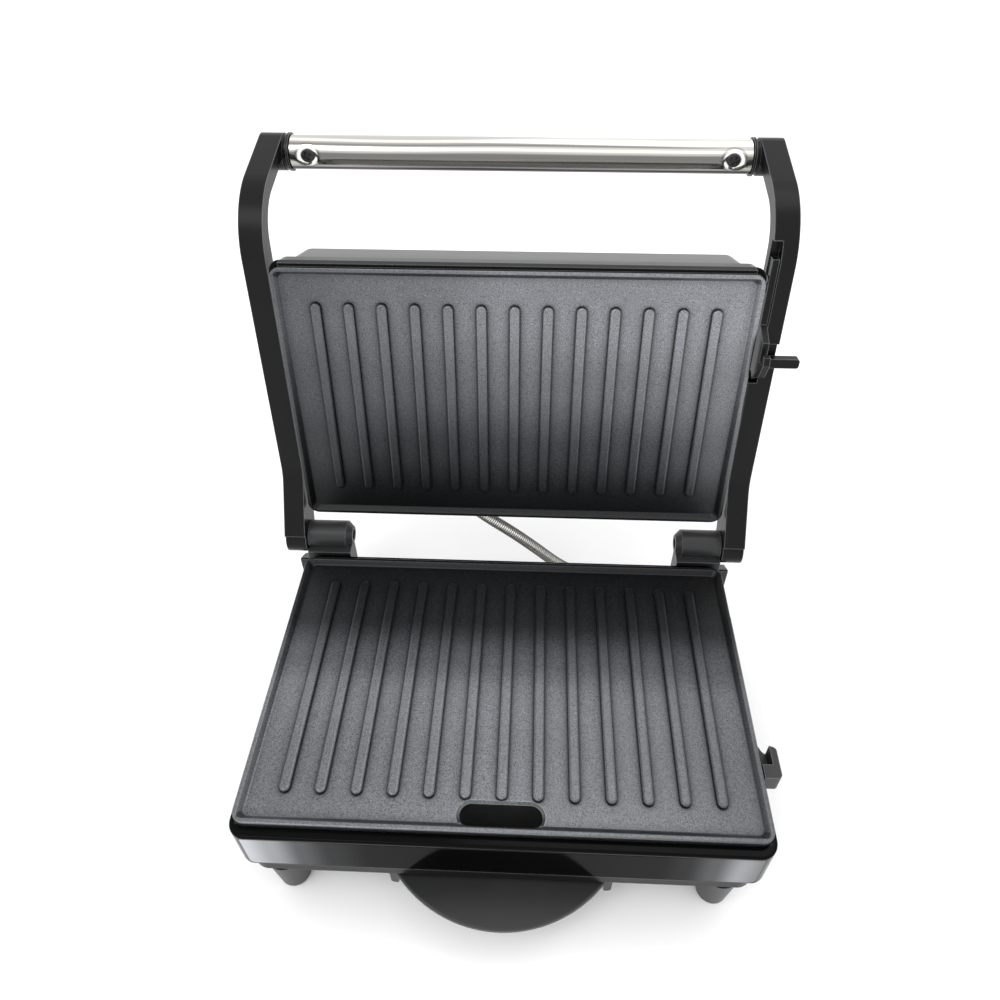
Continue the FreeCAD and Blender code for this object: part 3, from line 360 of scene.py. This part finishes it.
def brushed(name, level, rough, along=(0.012, 1, 1), metal=1.0, warm=1.0):
    """Metal with fine lines drawn along one axis."""
    s = Shader(name, rough, metal=metal, specular=0.5)
    lines = s.noise(1800, detail=3.0, roughness=0.6, stretch=along)
    broad = s.noise(160, detail=2.0, stretch=along)
    light, dark = level * 1.12, level * 0.86
    body = s.mix(s.span(lines, 0.35, 0.65), (dark * warm, dark, dark / warm),
                 (light * warm, light, light / warm))
    s.colour(s.mix(s.span(broad, 0.35, 0.65, 0.0, 0.35), body, grey(level * 0.78)))
    s.roughness(lines, 0.3, 0.7, rough * 0.8, rough * 1.25)
    s.bump(lines, 0.012, 0.5)
    return s.material


def blackened(name):
    """Blackened steel of the screws, with painted shade darkest in the cross recess and painted
    highlights on the edges.
    """
    s = Shader(name, 0.3, metal=0.5, specular=0.4)
    grain = s.noise(1500, detail=3.0)
    body = s.mix(s.span(grain, 0.3, 0.7), grey(0.02), grey(0.035))
    # Painted highlight along the sharp edges.
    body = s.mix(s.maths("MULTIPLY", s.rims(0.3), 0.6), body, grey(0.22))
    # Painted shade darkens the recess and corners.
    s.colour(s.mix(s.open_sky(1.6, 0.3, 0.75), grey(0.001), body))
    s.roughness(grain, 0.3, 0.7, 0.25, 0.36)
    s.bump(grain, 0.01, 0.4)
    return s.material


def sheathed(name, level, rough):
    """Dull metal or ceramic of the inner pieces, mottled by heat."""
    s = Shader(name, rough, metal=0.5)
    clouds = s.noise(90, detail=4.0)
    s.colour(s.mix(s.span(clouds, 0.35, 0.65), (level, level * 0.96, level * 0.9),
                   (level * 0.7, level * 0.62, level * 0.55)))
    s.roughness(clouds, 0.3, 0.7, rough - 0.08, rough + 0.1)
    s.bump(s.noise(900), 0.03, 0.4)
    return s.material


def lens(name, colour):
    """A ribbed coloured lamp cap."""
    s = Shader(name, 0.12, specular=0.6, coat=0.4)
    s.main.inputs["Transmission Weight"].default_value = 0.35
    haze = s.noise(300)
    dark = tuple(c * 0.45 for c in colour)
    s.colour(s.mix(s.span(haze, 0.3, 0.7), colour, dark))
    s.bump(s.noise(900, stretch=(1, 0.1, 0.1)), 0.04, 0.5)
    return s.material


def rubber(name):
    s = Shader(name, 0.75, specular=0.3)
    dust = s.noise(700, detail=4.0)
    s.colour(s.mix(s.span(dust, 0.4, 0.75), grey(0.022), grey(0.06)))
    s.bump(dust, 0.06, 0.6)
    return s.material


# The directions that the painted reflection bands of the tube and the painted shading of the hose
# are drawn from, lid open.
UPWARD = (0, 0, 1)
FRONT_ABOVE = (0, -0.75, 0.66)
TUBE_BANDS = [
    (-1.0, 0.6), (-0.965, 0.5), (-0.93, 0.03), (-0.62, 0.01), (-0.5, 0.34), (-0.25, 0.5),
    (-0.1, 0.3), (0.0, 0.17),
    (0.3, 0.17), (0.44, 0.5), (0.56, 1.0), (0.66, 0.6), (0.76, 0.22), (0.84, 0.4), (0.93, 0.95),
    (1.0, 0.5),
]
HOSE_BANDS = [
    (-1.0, 0.8), (-0.8, 0.6), (-0.5, 0.15), (-0.2, 0.03), (0.1, 0.012), (0.4, 0.03), (0.6, 0.12),
    (0.75, 0.4), (0.9, 1.0), (1.0, 0.9),
]
# A point attribute of those pieces: 1 is a painted highlight, -1 is the painted shade of a groove.
SHADE = "shade"


def make_materials():
    # Painted shade and reflection on the plates: darker towards the hinge side, and varying from
    # side to side.
    lower_shade = [(-120, 0.95), (-85, 0.95), (-52, 1.15), (-34, 0.72), (-10, 0.2), (30, 0.14)]
    upper_shade = [(65, 0.06), (90, 0.15), (125, 0.62), (165, 1.05), (200, 1.5), (215, 1.4)]
    lower_across = [(-120, 1.0), (-30, 1.1), (50, 0.8), (112, 0.62)]
    upper_across = [(-120, 0.45), (-60, 0.66), (0, 1.0), (112, 1.15)]
    return {
        "nonstick_aluminium": nonstick(
            "nonstick_aluminium", 1, lower_shade, lower_across, streaked=True
        ),
        "upper_nonstick": nonstick("upper_nonstick", 2, upper_shade, upper_across),
        "black_satin_plastic": moulded("black_satin_plastic", 0.005, 0.28, 0.01, specular=0.14),
        "black_gloss_plastic": moulded(
            "black_gloss_plastic", 0.0015, 0.12, 0.004, specular=0.05, edge_highlight=0.14
        ),
        "fascia_gloss": fascia_gloss("fascia_gloss"),
        "black_plastic": moulded("black_plastic", 0.024, 0.38, 0.012, specular=0.3),
        "black_enamel": moulded("black_enamel", 0.006, 0.3, 0.008, specular=0.12),
        "tray_plastic": moulded("tray_plastic", 0.016, 0.42, 0.012, specular=0.4),
        "rubber": rubber("rubber"),
        "polished_steel": brushed("polished_steel", 0.6, 0.16, warm=1.01),
        "grip_steel": drawn_tube("grip_steel", UPWARD, TUBE_BANDS),
        "hose_steel": drawn_tube("hose_steel", FRONT_ABOVE, HOSE_BANDS, rough=0.3, metal=0.7),
        "brushed_cover": brushed("brushed_cover", 0.17, 0.36),
        "screw_steel": blackened("screw_steel"),
        "sheet_aluminium": brushed("sheet_aluminium", 0.6, 0.35),
        "heater_sheath": sheathed("heater_sheath", 0.22, 0.5),
        "ceramic_white": sheathed("ceramic_white", 0.7, 0.6),
        "red_lens": lens("red_lens", (0.55, 0.02, 0.015)),
        "green_lens": lens("green_lens", (0.03, 0.35, 0.06)),
    }


# Pieces whose look differs from the rest of their slot.
OWN_LOOK = {"upper_plate": "upper_nonstick", "front_fascia": "fascia_gloss"}


def dress_nodes():
    for part in frame["record"]["subparts"]:
        mesh = NODES[part["node"]].data
        mesh.materials.clear()
        look = OWN_LOOK.get(part["node"], part["material_slot"])
        mesh.materials.append(MATERIALS[look])


# ---------------------------------------------------------------- detailed pieces
def new_piece(name, vertices, faces, slot, body, replaced, look=None, shades=None):
    mesh = bpy.data.meshes.new(name)
    mesh.from_pydata([tuple(v) for v in vertices], [], faces)
    if shades:
        mesh.attributes.new(SHADE, "FLOAT", "POINT").data.foreach_set("value", shades)
    bm = bmesh.new()
    bm.from_mesh(mesh)
    bmesh.ops.recalc_face_normals(bm, faces=bm.faces)
    bm.to_mesh(mesh)
    bm.free()
    mesh.polygons.foreach_set("use_smooth", [True] * len(mesh.polygons))
    piece = bpy.data.objects.new(name, mesh)
    bpy.context.scene.collection.objects.link(piece)
    mesh.materials.append(MATERIALS[look or slot])
    if body:
        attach(piece, body)
    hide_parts(*replaced)
    return piece


def ring_faces(rings, size, closed_ends=False):
    """Quads between rings of the same number of points, one ring after the other."""
    faces = []
    for i in range(rings - 1):
        for j in range(size):
            k = (j + 1) % size
            faces.append((i * size + j, i * size + k, (i + 1) * size + k, (i + 1) * size + j))
    if closed_ends:
        faces.append(tuple(range(size))[::-1])
        faces.append(tuple((rings - 1) * size + j for j in range(size)))
    return faces


def axes_for(axis):
    """Two directions square to the axis and to each other."""
    axis = axis.normalized()
    first = axis.orthogonal().normalized()
    return first, axis.cross(first)


def screw_head(seat, axis, radius, height, turn=0.4):
    """Vertices and faces of a pan head with a cross recess, standing on its seat.

    The head is a polar grid. Points inside the cross drop to the recess floor.
    """
    first, second = axes_for(axis)
    spokes, rows = 96, 26
    vertices, faces = [], []
    arm_half, arm_reach, depth = 0.17, 0.62, 0.8

    def top(u, v):
        r = math.hypot(u, v)
        dome = height * (0.72 + 0.28 * math.sqrt(max(0.0, 1 - r * r)))
        if r > 0.86:
            dome *= max(0.0, 1 - ((r - 0.86) / 0.14) ** 2) ** 0.5
        for a, b in ((u, v), (v, u)):
            side = 1 - min(1.0, max(0.0, (abs(a) - arm_half) / 0.05))
            end = 1 - min(1.0, max(0.0, (abs(b) - arm_reach) / 0.08))
            if min(side, end) > 0:
                dome = min(dome, height * (1 - depth * min(side, end)))
        return dome

    for i in range(rows + 1):
        r = i / rows
        for j in range(spokes):
            angle = 2 * math.pi * j / spokes
            u, v = r * math.cos(angle), r * math.sin(angle)
            cu, cv = math.cos(turn), math.sin(turn)
            lift = top(u * cu - v * cv, u * cv + v * cu)
            vertices.append(seat + (first * u + second * v) * radius + axis.normalized() * lift)
    faces = ring_faces(rows + 1, spokes)
    base = len(vertices)
    for j in range(spokes):
        angle = 2 * math.pi * j / spokes
        across = first * math.cos(angle) + second * math.sin(angle)
        vertices.append(seat + across * radius)
    for j in range(spokes):
        k = (j + 1) % spokes
        faces.append((rows * spokes + j, rows * spokes + k, base + k, base + j))
    faces.append(tuple(base + j for j in range(spokes)))
    return vertices, faces


def screws(name, node, body, seats, axis, radius, height):
    """One piece with a head at each seat, standing for the node of plain screws."""
    vertices, faces = [], []
    for n, seat in enumerate(seats):
        points, sides = screw_head(seat, axis, radius * MM, height * MM, 0.35 + 0.9 * n)
        faces += [tuple(len(vertices) + i for i in side) for side in sides]
        vertices += points
    new_piece(name, vertices, faces, "screw_steel", body, (node,))


TUBE_RADIUS, TUBE_HALF, TUBE_WALL = 8.2, 113.2, 1.2
HANDLE_Y, HANDLE_Z = -109.9, 60.5
SCREW_X = 104.0


def handle_tube():
    """The steel grip: a tube dented smoothly round its two screws, with rolled ends."""
    dent_depth, dent_radius, rim_radius, turns = 0.9, 4.2, 4.3, 144
    out = (0, 0, -1)
    stations = []
    x = -TUBE_HALF
    while x < TUBE_HALF:
        stations.append(x)
        x += 0.5 if abs(abs(x) - SCREW_X) < 12 else 2.0
    stations.append(TUBE_HALF)
    rings = [(x, None) for x in stations]
    rings = [(-TUBE_HALF, TUBE_RADIUS - TUBE_WALL), (-TUBE_HALF, TUBE_RADIUS - 0.3)] + rings
    rings += [(TUBE_HALF, TUBE_RADIUS - 0.3), (TUBE_HALF, TUBE_RADIUS - TUBE_WALL)]
    inner = [(x, TUBE_RADIUS - TUBE_WALL - 0.6) for x in (TUBE_HALF, -TUBE_HALF)]
    vertices, shades = [], []
    for x, radius in rings + inner:
        for j in range(turns):
            angle = 2 * math.pi * j / turns
            y, z = math.sin(angle), -math.cos(angle)
            r = radius or TUBE_RADIUS
            shade = 0.0
            if radius is None:
                along = min(abs(x - SCREW_X), abs(x + SCREW_X))
                around = TUBE_RADIUS * min(angle, 2 * math.pi - angle)
                away = math.hypot(along, around)
                r -= dent_depth * math.exp(-((away / dent_radius) ** 4))
                # Painted highlight in a ring round each dent, with a thin painted shade just
                # outside it.
                shade = math.exp(-(((away - rim_radius) / 0.8) ** 4))
                shade -= math.exp(-(((away - rim_radius - 1.7) / 0.4) ** 2)) * 0.5
            shades.append(shade)
            vertices.append(on_lid(x, HANDLE_Y + r * y, HANDLE_Z + r * z))
    count = len(rings) + 2
    faces = ring_faces(count, turns)
    for j in range(turns):
        k = (j + 1) % turns
        faces.append(((count - 1) * turns + j, (count - 1) * turns + k, k, j))
    new_piece(
        "handle_grip", vertices, faces, "polished_steel", "arms", ("handle_tube",), "grip_steel",
        shades,
    )
    seats = [on_lid(side * SCREW_X, HANDLE_Y, HANDLE_Z - TUBE_RADIUS + 1.0) for side in (-1, 1)]
    screws("handle_cross_screws", "handle_screws", "arms", seats, lid_direction(*out), 3.3, 1.4)


def other_screws():
    """Cross heads on the arms' ends, behind the hinges and under the base."""
    for word, side in (("left", -1), ("right", 1)):
        low, high = node_box(f"handle_bolt_{word}")
        x = high.x if side > 0 else low.x
        middle = (low + high) / 2
        seat = Vector((x - side * 1.8 * MM, middle.y, middle.z))
        screws(
            f"handle_bolt_head_{word}", f"handle_bolt_{word}", "arms", [seat],
            Vector((side, 0, 0)), 4.2, 1.8,
        )
    low, high = node_box("hinge_screws")
    seats = [
        Vector((x, high.y - 1.6 * MM, (low.z + high.z) / 2))
        for x in (low.x + 3 * MM, high.x - 3 * MM)
    ]
    screws("hinge_cross_screws", "hinge_screws", "base", seats, Vector((0, 1, 0)), 3.0, 1.6)
    low, high = node_box("bottom_screws")
    seats = [
        Vector((x, y, low.z + 1.6 * MM))
        for x in (low.x + 3 * MM, high.x - 3 * MM) for y in (low.y + 3 * MM, high.y - 3 * MM)
    ]
    screws("bottom_cross_screws", "bottom_screws", "base", seats, Vector((0, 0, -1)), 3.0, 1.6)


# The wire hose's route, the same points as its CAD tube follows.
HOSE_ROUTE = [
    (66, 73, -24), (66, 89, -24), (58, 98, -39), (36, 102, -46), (4, 102.5, -13),
    (-20, 106.3, 3), (-30, 109.3, 12.2), (-30, 111.2, 23.8),
]
HOSE_RADIUS, HOSE_PITCH = 3.4, 1.3


def spline_points(route):
    """Points along the smooth spline that the route controls, read from a bare curve."""
    curve = bpy.data.curves.new("hose_line", "CURVE")
    curve.dimensions = "3D"
    curve.resolution_u = 40
    spline = curve.splines.new("NURBS")
    spline.points.add(len(route) - 1)
    for point, place in zip(spline.points, route):
        point.co = (*at(*place), 1)
    spline.order_u = 3
    spline.use_endpoint_u = True
    holder = bpy.data.objects.new("hose_line", curve)
    mesh = bpy.data.meshes.new_from_object(holder)
    points = [v.co.copy() for v in mesh.vertices]
    bpy.data.objects.remove(holder)
    bpy.data.curves.remove(curve)
    bpy.data.meshes.remove(mesh)
    return points


def evenly(points, step):
    """The same line cut into steps of one length."""
    even = [points[0]]
    left = step
    for a, b in zip(points, points[1:]):
        run = (b - a).length
        done = 0.0
        while run - done >= left:
            done += left
            even.append(a.lerp(b, done / run))
            left = step
        left -= run - done
    return even


def wire_hose():
    """A hose of interlocked steel strip: a smooth spine with a helical groove."""
    sides = 28
    line = evenly(spline_points(HOSE_ROUTE), HOSE_PITCH / 7 * MM)
    vertices, shades = [], []
    across = None
    for i, point in enumerate(line):
        after = line[min(i + 1, len(line) - 1)]
        before = line[max(i - 1, 0)]
        axis = (after - before).normalized()
        across = axis.orthogonal() if across is None else across - axis * across.dot(axis)
        across.normalize()
        second = axis.cross(across)
        for j in range(sides):
            angle = 2 * math.pi * j / sides
            phase = (i / 7 - j / sides) % 1.0
            groove = math.exp(-((phase - 0.5) / 0.13) ** 2)
            radius = (HOSE_RADIUS - 0.4 * groove) * MM
            # Painted shade darkens the groove.
            shades.append(-0.9 * groove)
            vertices.append(
                point + (across * math.cos(angle) + second * math.sin(angle)) * radius
            )
    faces = ring_faces(len(line), sides, closed_ends=True)
    hose = new_piece(
        "wound_hose", vertices, faces, "polished_steel", None, ("wire_hose",), "hose_steel",
        shades,
    )
    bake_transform(hose)


# ---------------------------------------------------------------- studio
def area(name, place, target, size, power, tint=(1, 1, 1)):
    data = bpy.data.lights.new(name, "AREA")
    data.shape = "RECTANGLE"
    data.size, data.size_y = size
    data.energy = power
    data.color = tint
    lamp = bpy.data.objects.new(name, data)
    lamp.location = place
    lamp.rotation_euler = (Vector(target) - Vector(place)).to_track_quat("-Z", "Y").to_euler()
    bpy.context.scene.collection.objects.link(lamp)


def floor_material():
    s = Shader("floor_paper", 0.9, specular=0.1)
    s.colour(s.mix(s.noise(3, detail=1.0), (0.93, 0.93, 0.93), (0.96, 0.96, 0.96)))
    return s.material


def make_studio():
    bpy.ops.mesh.primitive_plane_add(size=12, location=(0, 0, 0))
    floor = bpy.context.object
    floor.name = "floor"
    floor.data.materials.append(floor_material())
    world = bpy.data.worlds.new("studio")
    bpy.context.scene.world = world
    world.use_nodes = True
    back = world.node_tree.nodes["Background"]
    back.inputs["Color"].default_value = (1, 1, 1, 1)
    back.inputs["Strength"].default_value = 1.3
    area("key", (-0.45, -0.55, 1.1), (0, 0, 0.1), (0.6, 0.4), 2.5)
    area("top", (0.3, 0.25, 1.3), (0, 0, 0.1), (0.8, 0.5), 2.5)
    bpy.context.scene.view_settings.view_transform = "Standard"


MATERIALS = make_materials()
make_camera()
dress_nodes()
handle_tube()
other_screws()
wire_hose()
make_studio()
